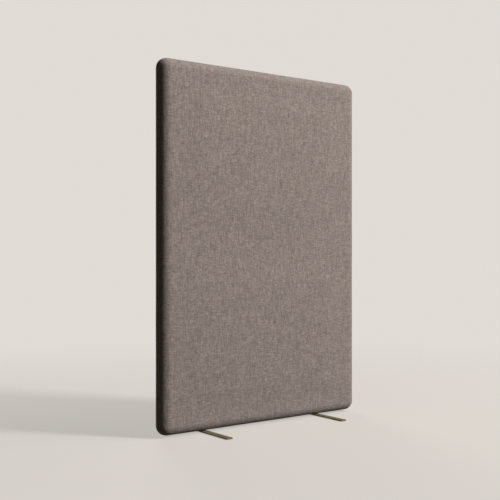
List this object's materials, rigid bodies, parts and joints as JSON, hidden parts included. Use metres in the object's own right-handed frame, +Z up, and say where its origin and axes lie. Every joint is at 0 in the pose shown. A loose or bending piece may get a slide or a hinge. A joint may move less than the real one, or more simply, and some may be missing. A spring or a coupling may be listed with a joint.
{
  "type": "acoustic divider screen",
  "caption": "Free-standing acoustic screen: an upholstered panel with half-round edges on slim flat steel feet that swivel in line with it for storage.",
  "frame": {"origin": "on the floor, under the middle of the panel", "axes": "+X along the panel's width, +Z up; the front face looks towards -Y and the feet lie along Y"},
  "size_m": [1.04, 0.38, 1.5],
  "materials": {
    "cover_fabric": "matte",
    "hook_loop_tape": "matte",
    "foam": "matte",
    "frame_timber": "matte",
    "dowel_wood": "matte",
    "barrier_board": "matte",
    "absorber_felt": "matte",
    "zinc_steel": "satin",
    "black_nylon": "matte",
    "foot_paint": "satin",
    "pad_felt": "matte"
  },
  "bodies": {
    "panel": {"cover_front": "cover_fabric", "cover_rear": "cover_fabric", "closure_strips": "hook_loop_tape", "foam_front": "foam", "foam_rear": "foam", "foam_edge_left": "foam", "foam_edge_right": "foam", "foam_edge_top": "foam", "foam_edge_bottom": "foam", "frame_stile_left": "frame_timber", "frame_stile_right": "frame_timber", "frame_top_rail": "frame_timber", "frame_mid_rail": "frame_timber", "frame_bottom_rail": "frame_timber", "frame_dowels": "dowel_wood", "barrier_upper": "barrier_board", "barrier_lower": "barrier_board", "absorber_front_upper": "absorber_felt", "absorber_front_lower": "absorber_felt", "absorber_rear_upper": "absorber_felt", "absorber_rear_lower": "absorber_felt", "insert_nuts": "zinc_steel", "foot_spacers": "black_nylon", "foot_washers": "black_nylon", "foot_screws": "zinc_steel"},
    "foot_left": {"foot_bar_left": "foot_paint", "foot_pads_left": "pad_felt"},
    "foot_right": {"foot_bar_right": "foot_paint", "foot_pads_right": "pad_felt"}
  },
  "joints": [
    {"name": "foot_left_swivel", "type": "hinge", "parent": "panel", "child": "foot_left", "pos_m": [-0.305, 0, 0.004], "axis": [0, 0, 1], "range_deg": [0, 90]},
    {"name": "foot_right_swivel", "type": "hinge", "parent": "panel", "child": "foot_right", "pos_m": [0.305, 0, 0.004], "axis": [0, 0, -1], "range_deg": [0, 90]}
  ]
}
